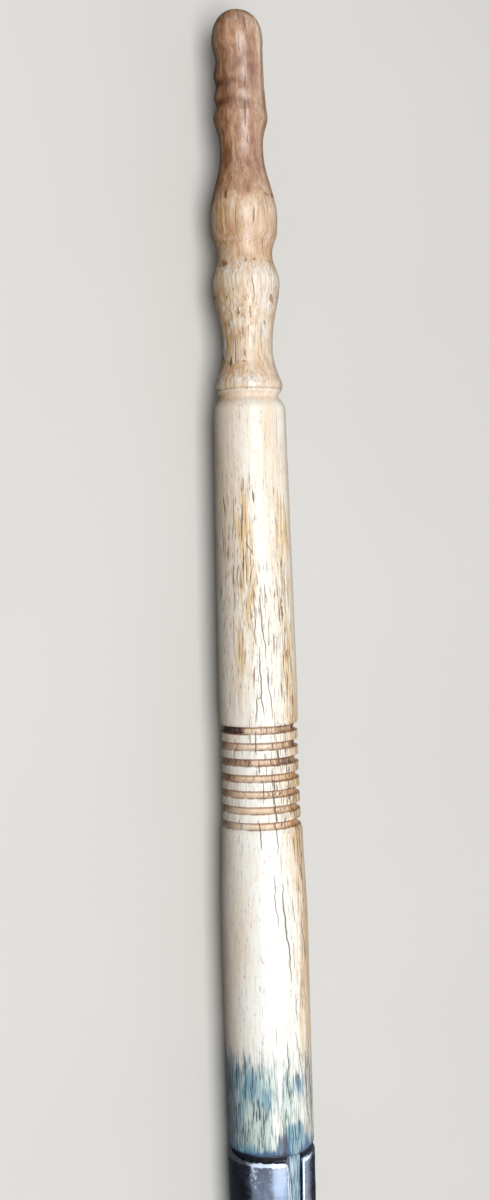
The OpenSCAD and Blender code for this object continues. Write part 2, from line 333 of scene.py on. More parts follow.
class Shader(Nodes):
    """A material. Its places are in mm in the object's own frame."""

    def __init__(self, name):
        self.material = bpy.data.materials.new(name)
        self.material.use_nodes = True
        super().__init__(self.material.node_tree)
        self.surface = self.tree.nodes["Principled BSDF"]
        self.place = self.scaled(self.node("TexCoord").outputs["Object"], (1 / MM,) * 3)

    def scaled(self, vector, scale):
        return self.node("VectorMath", vector, scale, operation="MULTIPLY").outputs[0]

    def noise(self, scale, detail=2.0, rough=0.5, offset=0.0):
        """Noise of 0..1 with scale features per mm along x, y and z."""
        shift = (offset, offset * 0.7, offset * 1.3)
        shifted = self.node("VectorMath", self.scaled(self.place, scale), shift)
        node = self.node("TexNoise")
        inputs = {"Vector": shifted.outputs[0], "Scale": 1.0, "Detail": detail, "Roughness": rough}
        for name, value in inputs.items():
            self.put(node.inputs[name], value)
        return node.outputs["Fac"]

    def field(self, name):
        return self.node("Attribute", attribute_name=name).outputs["Fac"]

    def math(self, operation, a, b=0.0, clamp=False):
        return self.node("Math", a, b, operation=operation, use_clamp=clamp).outputs[0]

    def add(self, a, b, clamp=False):
        return self.math("ADD", a, b, clamp)

    def times(self, a, b, clamp=False):
        return self.math("MULTIPLY", a, b, clamp)

    def swing(self, noise, amount):
        """A value of 0..1 as a swing round 0, amount wide."""
        return self.times(self.add(noise, -0.5), amount)

    def span(self, value, low, high, to_low=0.0, to_high=1.0):
        """value from low..high to to_low..to_high along an S-curve, held past both ends."""
        values = (value, low, high, to_low, to_high)
        return self.node("MapRange", *values, interpolation_type="SMOOTHSTEP").outputs[0]

    def ramp(self, value, stops):
        """Colour ramp through (place, sRGB colour) stops."""
        node = self.node("ValToRGB", value)
        ramp = node.color_ramp
        while len(ramp.elements) < len(stops):
            ramp.elements.new(0.5)
        for element, (position, colour) in zip(ramp.elements, stops):
            element.position = position
            element.color = linear(colour)
        return node.outputs[0]

    def mix(self, factor, a, b, how="MIX"):
        node = self.node("Mix", factor, data_type="RGBA", blend_type=how)
        for socket, colour in ((node.inputs[6], a), (node.inputs[7], b)):
            self.put(socket, linear(colour) if isinstance(colour, tuple) else colour)
        return node.outputs[2]

    def bump(self, height, depth_mm, strength=1.0):
        node = self.node("Bump", strength, depth_mm * MM)
        self.put(node.inputs["Height"], height)
        self.put(self.surface.inputs["Normal"], node.outputs[0])

    def finish(self, **inputs):
        """Sets Principled inputs, with _ for a space and mixed case as the node has it."""
        for name, value in inputs.items():
            self.put(self.surface.inputs[name.replace("_", " ")], value)
        return self.material


def hairlines(s, scale, offset, thick, gate):
    """Thin wandering lines: contours of a stretched noise, broken up where gate is low."""
    waves = s.noise(scale, detail=3, rough=0.55, offset=offset)
    away = s.math("ABSOLUTE", s.add(waves, -0.5))
    return s.span(away, 0.0, s.add(0.0008, s.times(gate, thick)), 1.0, 0.0)


def slits(s, scale, offset, least, gate):
    """Short spindle-shaped slits along the bone, more of them where gate is high, and their halo."""
    waves = s.noise(scale, detail=1, rough=0.4, offset=offset)
    level = s.add(waves, s.times(gate, 0.12))
    return s.span(level, least, least + 0.035), s.span(level, least - 0.09, least + 0.01)


BONE_SHADES = [
    (0.0, (246, 247, 244)),
    (0.16, (241, 236, 226)),
    (0.34, (231, 210, 184)),
    (0.52, (209, 176, 147)),
    (0.72, (174, 133, 104)),
    (1.0, (108, 70, 50)),
]


def bone_colour(s, fibre, fine, cloud, blotch):
    """Bone's own colour: white to brown with warmth, mottled with age, with golden streaks."""
    mottle = s.noise((1.1, 1.9, 1.9), detail=4, rough=0.6, offset=43)
    patchy = s.times(s.add(s.add(mottle, s.times(blotch, 0.7)), -0.85), s.field("age"))
    warmth = s.add(s.field("warmth"), s.add(s.swing(cloud, 0.16), s.swing(fibre, 0.14)))
    base = s.ramp(s.add(warmth, s.times(patchy, 0.75), clamp=True), BONE_SHADES)
    golden = s.span(s.add(fibre, s.times(fine, 0.25)), 0.48, 0.78)
    gilt = s.times(s.add(s.times(golden, 1.7), 0.15), s.field("gold"), clamp=True)
    return s.mix(gilt, base, (233, 204, 158), "MULTIPLY")


def with_canals(s, base):
    """Short brown slits along the bone, more and darker where pores is high."""
    pores = s.field("pores")
    broken = s.noise((0.5, 1.9, 1.9), detail=2, offset=19)
    gate = s.span(s.add(broken, s.swing(pores, 0.5)), 0.38, 0.75)
    dashes, halo = slits(s, (0.36, 6.6, 6.6), 61, 0.735, gate)
    ticks, _ = slits(s, (0.7, 10.0, 10.0), 83, 0.74, gate)
    lines = hairlines(s, (0.16, 1.7, 1.7), 47, 0.022, gate)
    canals = s.add(s.add(dashes, s.times(ticks, 0.8)), s.times(lines, 0.5), clamp=True)
    base = s.mix(s.times(halo, s.add(0.16, s.times(pores, 0.3))), base, (206, 164, 112))
    depth = s.times(canals, s.add(0.35, s.times(pores, 0.6)), clamp=True)
    return s.mix(depth, base, (92, 64, 38)), canals


def ragged(s, name, noise, share, low, high):
    """A field with its edge broken up by noise, as 0 below low and 1 above high."""
    return s.span(s.add(s.field(name), s.times(noise, share)), low, high)


def with_dirt_and_shade(s, base, fine, blotch):
    """Dirt held in grooves and coves, and painted shade, broken up by the grain. Also returns where it
    is rough.
    """
    fine, blotch = s.add(fine, -0.5), s.add(blotch, -0.5)
    tan = ragged(s, "dirt", blotch, 0.7, 0.1, 0.9)
    base = s.mix(s.times(tan, 0.9), base, (234, 209, 183), "MULTIPLY")
    # Painted shade: a lilac grey over the finial-side walls of the grooves, the cap's notches and the
    # middle of the cap, and a little over the whole finial.
    shade = ragged(s, "shade", fine, 0.7, 0.1, 0.8)
    base = s.mix(s.times(shade, 0.9), base, (198, 178, 176), "MULTIPLY")
    line = ragged(s, "line", blotch, 1.1, 0.3, 0.75)
    base = s.mix(s.times(line, 0.8), base, (140, 90, 50))
    crumbs = s.noise((1.4, 4.2, 4.2), detail=4, rough=0.7, offset=71)
    uneven = s.add(s.times(fine, 1.1), s.swing(crumbs, 1.5))
    brown = ragged(s, "soot", uneven, 1.0, 0.12, 0.5)
    base = s.mix(s.times(brown, 0.7), base, (128, 76, 54))
    black = ragged(s, "soot", uneven, 1.0, 0.46, 0.76)
    return s.mix(s.times(black, 0.92), base, (38, 24, 24)), s.add(tan, black)


# Layers of blue stain: field, how far it soaks along the fibres, where it starts and is full,
# how much it covers, and its colour. On the tenon in the slit, the fourth layer is also painted shade.
STAIN_LAYERS = [
    ("wash", 0.6, 0.05, 0.9, 0.85, (186, 206, 198)),
    ("smoke", 0.6, 0.1, 0.9, 0.8, (134, 136, 152)),
    ("teal", 0.95, 0.15, 0.95, 0.85, (98, 148, 170)),
    ("ink", 0.9, 0.25, 0.95, 0.95, (38, 82, 128)),
]


def with_stain(s, base, fibre, fine):
    """Blue stain beside the sleeve, soaked along the fibres, and painted shade on the tenon in the
    slit.
    """
    soak = s.add(s.swing(fibre, 1.0), s.swing(fine, 1.3))
    for name, share, low, high, cover, colour in STAIN_LAYERS:
        base = s.mix(s.times(ragged(s, name, soak, share, low, high), cover), base, colour)
    stained = s.add(s.field("wash"), s.add(s.field("teal"), s.field("ink")), clamp=True)
    threads = s.span(s.add(fine, s.times(fibre, 0.35)), 0.69, 0.76)
    base = s.mix(s.times(s.times(threads, stained), 0.8), base, (38, 66, 80))
    dashes, _ = slits(s, (0.5, 6.0, 6.0), 97, 0.74, stained)
    base = s.mix(s.times(s.times(dashes, stained), 0.85), base, (30, 50, 62))
    # The black layer is stain, and on the tenon a painted shadow along the slit's edges.
    return s.mix(ragged(s, "black", soak, 0.5, 0.3, 0.8), base, (12, 22, 38))


def with_cracks(s, base, fine):
    """Cracks, dark where the signed distance nears zero and a little wider than they are cut."""
    away = s.times(s.math("ABSOLUTE", s.field("gap")), GAP_REACH)
    away = s.add(away, s.swing(fine, 0.025))
    reach = s.times(s.field("reach"), 1.25)
    crack = s.span(away, s.times(reach, 0.4), s.add(reach, 0.001), 1.0, 0.0)
    crack = s.times(crack, s.span(reach, 0.002, 0.02))
    return s.mix(s.times(crack, 0.92), base, (68, 56, 38)), crack


def bone_material():
    """Polished bone. The noises are stretched along X, the way its fibres run."""
    s = Shader("bone")
    fibre = s.noise((0.28, 3.4, 3.4), detail=3, rough=0.6)
    fine = s.noise((0.55, 10.0, 10.0), detail=2, rough=0.55, offset=5)
    cloud = s.noise((0.12, 0.45, 0.45), detail=2, offset=11)
    blotch = s.noise((0.5, 1.3, 1.3), detail=3, offset=37)
    ripple = s.noise((9.0, 0.5, 0.5), detail=2, offset=3)

    base = bone_colour(s, fibre, fine, cloud, blotch)
    base, canals = with_canals(s, base)
    base, dirt = with_dirt_and_shade(s, base, fine, blotch)
    base = with_stain(s, base, fibre, fine)
    base, crack = with_cracks(s, base, fine)

    hollows = s.add(s.times(canals, -0.8), s.times(crack, -2.0))
    s.bump(s.add(hollows, s.add(s.times(fine, 0.25), s.times(ripple, 0.3))), 0.02, 0.6)
    age = s.field("age")
    polish = s.add(s.add(0.38, s.times(age, -0.1)), s.swing(cloud, 0.12))
    return s.finish(
        Base_Color=base,
        Roughness=s.add(polish, s.times(s.add(dirt, canals, clamp=True), 0.22), clamp=True),
        Subsurface_Weight=0.15,
        Subsurface_Radius=(1.0, 0.62, 0.4),
        Subsurface_Scale=0.6 * MM,
        IOR=1.54,
        Coat_Weight=s.add(0.12, s.times(age, 0.22)),
        Coat_Roughness=s.add(0.3, s.times(age, -0.18)),
    )


def steel_material(name, dark, light, worn, roughness, rub=(0.5, 3.0, 3.0)):
    """Old steel: mottled patina, fine rubbed scratches, and bright metal where worn is high."""
    s = Shader(name)
    cloud = s.noise((0.5, 0.5, 0.5), detail=4, rough=0.6, offset=17)
    spots = s.noise((2.6, 2.6, 2.6), detail=4, rough=0.65, offset=29)
    lines = s.noise(rub, detail=3, rough=0.6, offset=7)
    patina = s.span(s.add(cloud, s.swing(spots, 0.7)), 0.32, 0.68)
    base = s.mix(patina, dark, light)
    base = s.mix(s.times(s.span(lines, 0.45, 0.75), 0.35), base, light)
    grime = s.span(s.add(s.field("grime"), s.swing(spots, 0.8)), 0.25, 0.8)
    base = s.mix(s.times(grime, 0.85), base, (26, 20, 22))
    edge = s.span(s.add(s.field("worn"), s.swing(spots, 1.5)), 0.3, 0.62)
    base = s.mix(edge, base, worn)
    s.bump(s.add(s.times(spots, 0.5), s.times(lines, 0.5)), 0.012, 0.5)
    rough = s.add(
        s.add(roughness, s.swing(spots, 0.2)),
        s.add(s.times(patina, 0.08), s.times(grime, 0.5)),
        clamp=True,
    )
    return s.finish(Base_Color=base, Metallic=1.0, Roughness=rough)


def pitch_material():
    s = Shader("pitch")
    lumps = s.noise((3.0, 3.0, 3.0), detail=4, rough=0.6)
    s.bump(lumps, 0.04, 0.8)
    return s.finish(
        Base_Color=s.mix(lumps, (4, 5, 9), (12, 13, 18)),
        Roughness=s.span(lumps, 0.3, 0.7, 0.5, 0.8),
        Specular_IOR_Level=0.2,
    )


def cement_material():
    s = Shader("shellac_cement")
    lumps = s.noise((2.0, 2.0, 2.0), detail=4, rough=0.6)
    s.bump(lumps, 0.03, 0.7)
    return s.finish(
        Base_Color=s.mix(lumps, (70, 36, 16), (128, 74, 34)),
        Roughness=s.span(lumps, 0.3, 0.7, 0.25, 0.5),
    )


def floor_material():
    """Pale matt floor, helped by a faint glow far out so that it stays even to the horizon."""
    s = Shader("floor")
    soft = s.noise((0.03, 0.03, 0.03), detail=2)
    away = s.node("VectorMath", s.place, operation="LENGTH").outputs["Value"]
    outward = s.span(away, 110.0, 700.0)
    return s.finish(
        Base_Color=s.mix(soft, (206, 203, 199), (212, 210, 206)),
        Roughness=0.9,
        Specular_IOR_Level=0.1,
        Emission_Color=linear((232, 238, 241)),
        Emission_Strength=s.times(s.math("POWER", outward, 0.55), 0.74),
    )


# ---- turned bone ----

# How many points go round each piece
SHAFT_AROUND = 192
FINIAL_AROUND = 176
SEAL_AROUND = 180

# Cracks, each (x, angle) of its start, (x, angle) of its end, width and depth
SHAFT_CRACKS = [
    (15.6, 8.8, 6.1, -1.4, 0.085, 0.06),
    (16.4, 19.0, 11.4, 15.6, 0.05, 0.03),
    (14.0, -6.8, 11.6, -11.5, 0.05, 0.03),
    (11.6, -24.0, 7.6, -33.5, 0.07, 0.06),
    (4.9, -6.0, 2.1, -10.5, 0.05, 0.04),
    (0.6, 8.4, -5.0, 7.6, 0.06, 0.05),
    (1.4, -6.0, -3.4, -17.5, 0.05, 0.04),
    (-0.8, -22.0, -8.4, -30.0, 0.08, 0.06),
    (0.5, -33.0, -8.8, -42.0, 0.11, 0.09),
    (-5.7, 13.0, -7.8, 15.5, 0.05, 0.03),
    (52.2, 32.8, 51.2, 31.2, 0.10, 0.06),
    (47.5, 44.0, 46.3, 33.5, 0.05, 0.03),
    (45.4, 35.0, 43.4, 40.5, 0.04, 0.03),
    (42.6, 26.0, 36.5, 21.0, 0.06, 0.04),
    (41.6, 34.0, 38.5, 36.0, 0.05, 0.03),
    (37.8, 31.0, 31.2, 25.5, 0.07, 0.04),
    (35.4, 18.0, 30.9, 13.0, 0.05, 0.03),
    (33.4, 34.5, 30.6, 37.0, 0.06, 0.03),
    (52.0, -24.0, 46.5, -33.0, 0.05, 0.04),
    (46.0, -20.0, 38.5, -16.0, 0.04, 0.03),
    (39.5, -8.0, 33.0, -12.0, 0.04, 0.03),
    (51.8, 84.0, 49.9, 80.7, 0.07, 0.03),
    (49.0, 88.0, 46.5, 86.0, 0.05, 0.03),
    (44.0, 67.0, 41.0, 65.0, 0.04, 0.02),
    (29.95, 39.5, 27.6, 38.6, 0.06, 0.03),
    (29.2, 73.0, 26.6, 74.5, 0.05, 0.02),
    (26.95, 35.0, 25.9, 34.2, 0.06, 0.03),
    (26.4, 14.0, 18.2, 12.0, 0.06, 0.03),
    (25.25, 31.0, 23.4, 29.5, 0.05, 0.02),
    (21.6, 37.5, 18.8, 35.5, 0.06, 0.03),
    (21.6, 67.5, 20.6, 68.5, 0.05, 0.02),
    (30.0, -9.0, 27.2, -8.5, 0.06, 0.03),
    (26.5, -14.0, 22.4, -13.0, 0.06, 0.03),
    (25.2, -22.0, 16.6, -24.5, 0.06, 0.04),
    (24.2, -30.5, 15.0, -34.0, 0.06, 0.04),
    (33.0, 122.0, 24.0, 127.0, 0.06, 0.05),
    (56.0, 165.0, 38.0, 172.0, 0.07, 0.06),
    (18.0, 205.0, -3.0, 196.0, 0.08, 0.07),
    (47.0, 258.0, 30.0, 249.0, 0.07, 0.06),
]
FINIAL_CRACKS = [
    (97.0, 76.0, 96.1, 72.0, 0.09, 0.05),
    (97.0, 30.0, 95.6, 27.0, 0.05, 0.03),
    (96.1, 16.0, 94.9, 13.0, 0.07, 0.04),
    (96.2, -14.0, 94.9, -16.0, 0.05, 0.02),
    (90.6, 18.0, 89.6, 21.0, 0.06, 0.03),
    (88.6, 25.0, 86.0, 22.0, 0.06, 0.04),
    (85.2, 17.0, 84.4, 15.0, 0.04, 0.02),
    (80.2, 68.6, 79.3, 67.6, 0.11, 0.04),
    (78.65, 68.0, 76.4, 66.0, 0.03, 0.02),
    (78.4, 13.5, 76.9, 16.5, 0.07, 0.04),
    (79.6, -10.0, 78.2, -12.0, 0.05, 0.02),
    (79.4, 45.0, 75.6, 47.0, 0.03, 0.01),
    (75.8, -4.0, 74.6, -6.0, 0.05, 0.02),
    (72.1, 24.0, 70.0, 18.0, 0.05, 0.03),
    (69.4, 28.0, 68.2, 24.0, 0.05, 0.03),
    (64.9, 74.0, 63.7, 72.0, 0.09, 0.04),
    (66.8, 60.0, 64.2, 62.0, 0.04, 0.02),
    (68.0, 2.0, 65.4, 0.0, 0.04, 0.02),
    (93.0, 190.0, 84.0, 200.0, 0.07, 0.05),
    (77.0, 260.0, 66.0, 250.0, 0.07, 0.05),
]


# Soft patches on the shaft, each (amount, x, angle, half size along x, half angle)
SHAFT_PORES = [
    (0.6, 39, 25, 10, 42),
    (0.55, 46, 60, 9, 30),
    (0.3, 48, 47, 4, 14),
    (0.75, 40, -16, 11, 18),
    (0.8, 12, -26, 17, 16),
    (0.6, 25, 10, 5, 60),
    (0.45, 24, -26, 7, 16),
    (0.3, -6, 40, 6, 90),
    (-0.12, 8, 60, 10, 50),
    (0.3, 30, 180, 30, 60),
]
SHAFT_WARMTH = [
    (-0.12, 5, 28, 17, 50),
    (0.08, 47, 78, 7, 22),
    (0.05, 35, 62, 6, 16),
    (0.08, 57, 6, 4, 14),
    (0.10, 11, 66, 5, 14),
    (0.20, 10, -36, 17, 20),
    (0.12, 41, -45, 16, 14),
    (0.06, 9, 95, 12, 20),
    (0.05, 24, -18, 6, 34),
    (0.16, 20, 190, 45, 60),
]
SHAFT_GOLD = [
    (0.75, 49, 47, 3.2, 10),
    (0.65, 43.5, 43, 3.5, 10),
    (0.50, 37.5, 55, 4.5, 12),
    (0.75, 48, -16, 4.5, 13),
    (0.75, 36.5, -21, 7, 12),
    (0.16, 48, 70, 8, 18),
    (0.45, 10, -26, 17, 14),
    (0.5, 24, -24, 7, 18),
    (0.10, 9, 62, 6, 16),
    (-0.08, 3, 70, 12, 60),
    (0.2, 20, 190, 45, 60),
]
WASH = [(-0.7, -7.6, 24, 2.6, 8), (-0.3, -3.5, 22, 1.6, 6)]
SMOKE = [(0.45, -3.0, -30, 3.0, 16), (0.25, -1.0, 80, 1.2, 20), (0.5, -7.0, -36, 3.0, 8)]
TEAL = [
    (0.95, -3.3, 57, 1.9, 13),
    (0.8, -4.8, 38, 1.6, 10),
    (0.6, -3.2, 84, 2.4, 15),
    (0.5, -5.5, 70, 1.6, 9),
    (0.85, -3.9, -8, 1.2, 16),
    (0.5, -7.5, 78, 2.5, 9),
    (1.1, -9.8, 3, 2.0, 9),
    (0.9, -10.0, -14, 1.9, 13),
    (0.35, -9.0, 60, 2.0, 8),
    (0.4, -7.5, 118, 4.0, 22),
    (0.45, -6.5, 215, 3.5, 70),
]
INK = [
    (1.3, -9.8, 18, 1.6, 9),
    (0.9, -10.4, 34, 0.7, 26),
    (0.7, -3.8, -9, 0.8, 9),
    (0.85, -9.8, -22, 1.4, 9),
]
BLACK = [(0.85, -9.0, 14.5, 1.1, 4), (0.65, -6.4, -40, 3.4, 5), (0.7, -10.5, 15, 0.9, 7)]

BONE_FIELDS = "warmth age gold pores reach dirt shade line soot wash smoke teal ink black".split()


def bone_fields(obj, gap, **fields):
    """Sets what the bone material reads: gap, and fields of 0..1 that are 0 if not given."""
    grid_field(obj, "gap", gap)
    for name in BONE_FIELDS:
        grid_field(obj, name, np.clip(fields.get(name, 0 * gap), 0, 1))


# The bores are narrower than BORE_CLEAR_R. Within BAND_X, only the grooves cross GROOVE_CUT_R.
BORE_CLEAR_R = 2.5
BAND_X = (15, 35)
BAND_MARGIN = 0.6
GROOVE_CUT_R = 3.52
GROOVE_HALF_W = 0.36
GROOVE_PITCH = 1.5
SHAFT_OUTLINE = outline_of("handle_shaft", BORE_CLEAR_R)


def groove_centres():
    """Places of the grooves along X, midway between their walls on the shaft's outline."""
    x = np.arange(*BAND_X, 0.01)
    inside = np.interp(x, *np.array(SHAFT_OUTLINE).T) < GROOVE_CUT_R
    walls = x[1:][inside[1:] != inside[:-1]]
    return (walls[0::2] + walls[1::2]) / 2


GROOVES_X = groove_centres()
BAND_LOW_X, BAND_HIGH_X = GROOVES_X.min() - BAND_MARGIN, GROOVES_X.max() + BAND_MARGIN


def ring_spacing(x):
    """Distance between the shaft's rings, in mm: least in the band, most on the long taper."""
    in_band = (x > BAND_LOW_X) & (x < BAND_HIGH_X)
    return np.where(in_band, 0.075, np.where(x < RIM_X + 0.6, 0.1, 0.23))


def shaft_points():
    """The shaft's outline: the tenon under the sleeve, then the handle."""
    tenon = [point for point in SHAFT_OUTLINE if point[0] < SHOULDER_X - 0.01]
    handle = [point for point in SHAFT_OUTLINE if point[0] >= SHOULDER_X - 0.01]
    hidden = [(SHAFT_END_X, TENON_END_R)] + tenon + [(SHOULDER_X, TENON_R)]
    return np.vstack([resampled(hidden, 0.4), resampled(handle, ring_spacing, rounding=0)])


def along_band(x):
    """Where x lies along the grooved band.

    Returns the offset from the nearest groove, that groove's number from the finial's end, and
    shares of 0..1 for lying in the band and in a groove.
    """
    nearest = GROOVES_X[np.abs(x[:, :1, None] - GROOVES_X).argmin(axis=-1)]
    offset = x - nearest
    number = np.round((GROOVES_X.max() - nearest) / GROOVE_PITCH)
    in_band = smooth(0, 0.3, x - BAND_LOW_X) * smooth(0, 0.3, BAND_HIGH_X - x)
    in_groove = smooth(GROOVE_HALF_W + 0.06, GROOVE_HALF_W - 0.1, np.abs(offset))
    return offset, number, in_band, in_groove


def shaft_pores(x, angle, in_band):
    pores = 0.13 + patches(x, angle, SHAFT_PORES)
    pores += 0.5 * in_band * near_angle(angle, -16, 28)
    pores += 0.28 * smooth(60, 110, np.abs(angle_between(angle, 0)))
    return pores + 0.15 * grain(7, x, angle, 9.0, 9)


def shaft_warmth(x, angle):
    # left warms the flank from about 45 to 100 degrees round: a painted warm reflection.
    left = smooth(45, 100, angle) * (angle < 250)
    warmth = 0.15 + 0.04 * grain(21, x, angle, 12, 7) + patches(x, angle, SHAFT_WARMTH)
    return warmth + 0.05 * smooth(48, 58, x) + 0.08 * left


def groove_soot(angle, number):
    """Black dirt in the grooves, at both flanks, most of it in the first and third groove."""
    flanks = 0.18 * near_angle(angle, 108, 22) + 0.25 * near_angle(angle, -40, 12)
    first = 0.85 * smooth(44, 70, angle) * smooth(200, 120, angle)
    first += 0.35 * near_angle(angle, -12, 22) + 0.6 * near_angle(angle, -38, 10)
    second = flanks + 0.55 * near_angle(angle, -34, 12)
    third = 0.42 * smooth(40, 52, angle) * smooth(200, 90, angle)
    third += 0.62 * near_angle(angle, -14, 30)
    fourth = flanks + 0.4 * near_angle(angle, 92, 16)
    marked = [first, second, third, fourth]
    return np.select([number == place for place in range(len(marked))], marked, flanks)


def stain_fields(x, angle, r):
    """The blue stain beside the sleeve, as fields from a pale wash to black, and painted shade on the
    tenon in the slit.
    """
    side = angle_between(angle, 0)
    on_left = smooth(-10, 20, side) * smooth(190, 150, angle)
    near_rim = smooth(SHOULDER_X + 1.9, SHOULDER_X, x)
    block = smooth(-6.9, -7.9, x) * smooth(-19, -9, side) * smooth(17, 10, side)
    wash = 0.9 * smooth(1.0, -4.0, x) * (0.45 + 0.55 * on_left) + patches(x, angle, WASH)
    smoke = 0.85 * smooth(0.8, -3.0, x) * smooth(72, 92, angle) * smooth(210, 180, angle)
    smoke += patches(x, angle, SMOKE)
    teal = 0.9 * near_rim + 0.8 * block + patches(x, angle, TEAL)
    ink = 0.85 * smooth(SHOULDER_X + 0.9, SHOULDER_X, x) - 0.9 * near_angle(angle, 2, 8) * near_rim
    ink += 0.25 * block + patches(x, angle, INK)
    black = 1.1 * smooth(SHOULDER_X + 0.4, SHOULDER_X + 0.08, x)
    black += patches(x, angle, BLACK) - 1.2 * near_angle(angle, 1, 9) * near_rim

    # The tenon shows through the slit as a strip of the same stained bone, with painted shade:
    # darker towards one side and black along both edges of the slit, where the sleeve shades it.
    tenon = smooth(SHOULDER_X + 0.05, SHOULDER_X - 0.05, x)
    across = r * np.sin(np.radians(angle))
    on_tenon = {
        "wash": (wash, 0),
        "smoke": (smoke, 0),
        "teal": (teal, 0.85),
        "ink": (ink, 0.12 + 0.8 * smooth(0.35, 0.62, across)),
        "black": (black, smooth(0.6, 0.85, np.abs(across))),
    }
    return {name: bare + (under - bare) * tenon for name, (bare, under) in on_tenon.items()}


def make_handle_shaft():
    """The bone shaft: tenon, shoulder, grip, grooved band, tapered shaft and finial seat."""
    x, angle, r = turned_grid(shaft_points(), all_round(SHAFT_AROUND))
    on_handle = smooth(SHOULDER_X + 0.05, SHOULDER_X + 0.6, x)
    offset, number, in_band, in_groove = along_band(x)
    gap, reach, deep = crack_fields(SHAFT_CRACKS, 100, x, angle, r)

    worn_flat = 0.02 * grain(3, x, angle, 14.0, 5) + 0.008 * grain(4, x, angle, 2.5, 24)
    chips = smooth(0.45, 0.85, grain(5, x, angle, 0.5, 40)) * (1 - in_groove) * in_band
    r = r + (worn_flat - deep - 0.05 * chips) * on_handle
    obj = turned_mesh("bone_shaft", x, angle, r, lean=0 * x)

    in_groove = in_groove * in_band
    tan = in_groove * (0.75 + 0.25 * grain(31, x, angle, 1.5, 16))
    neck = smooth(JOINT_X - 2.0, JOINT_X - 1.0, x) * smooth(3.3, 2.9, r)
    edges = 0.62 * near(offset, -GROOVE_HALF_W, 0.085) + 0.36 * near(offset, GROOVE_HALF_W, 0.07)
    bone_fields(
        obj,
        gap,
        reach=reach * on_handle,
        age=0.12 + 0.2 * in_band,
        warmth=shaft_warmth(x, angle),
        gold=0.10 + patches(x, angle, SHAFT_GOLD),
        pores=shaft_pores(x, angle, in_band),
        dirt=np.maximum(tan, 0.5 * neck),
        # Painted shade over the finial-side half of each groove.
        shade=smooth(0.0, 0.3, offset) * in_groove,
        line=edges * in_band,
        soot=groove_soot(angle, number) * in_groove,
        **stain_fields(x, angle, r),
    )
    return obj


# The finial's places are heights above its joint. Its cap has thin beads, each
# (height, crown radius), with notches between them.
CAP_CROWNS = [(25.55, 2.58), (27.5, 2.42), (29.36, 2.36), (32.9, 2.38)]
CAP_NOTCHES = (26.67, 28.45)
COVE_ENDS = (18.3, 11.9, 8.6, 2.7)
SPIGOT_R = 1.5
FINIAL_LEAN = 0.15


def finial_points():
    """The finial's outline: the spigot in the shaft, then the beads."""
    spigot_x = finial_low[0]
    spigot = [(spigot_x, 0.05), (spigot_x, SPIGOT_R - 0.1), (spigot_x + EDGE_BREAK, SPIGOT_R)]
    beads = outline_of("finial", from_x=JOINT_X)[:-1] + [(TIP_X, 0.02)]
    return np.vstack([resampled(spigot + [(JOINT_X, SPIGOT_R)], 0.5, 0), resampled(beads, 0.16)])


def make_finial():
    """The beaded bone finial with its spigot, worn smooth on one side of the cap."""
    x, angle, r = turned_grid(finial_points(), all_round(FINIAL_AROUND))
    height = x - JOINT_X
    crown = np.interp(height, *np.array(CAP_CROWNS).T)
    in_cap = smooth(25.2, 26.0, height) * smooth(32.6, 31.6, height)
    rubbed = np.clip(0.36 + 0.75 * np.cos(np.radians(angle + 40)), 0, 1)
    r = r + np.clip(crown - r, 0, 1) * in_cap * rubbed * 0.88
    r = r - 0.12 * patch(height, angle, 30.9, 110, 0.9, 60)

    shown = smooth(0.0, 0.3, height)
    gap, reach, deep = crack_fields(FINIAL_CRACKS, 300, x, angle, r)
    wear = 0.03 * grain(45, x, angle, 5.0, 5) + 0.014 * grain(46, x, angle, 1.6, 16)
    r = r + (wear * (1 + smooth(30, 34, height)) - deep) * shown * smooth(0.0, 1.2, r)
    lean = FINIAL_LEAN * smooth(JOINT_X + 22, TIP_X, x)
    obj = turned_mesh("bone_finial", x, angle, r, lean)
    bone_fields(obj, gap, reach=reach * shown, **finial_fields(x, angle, height, rubbed))
    return obj


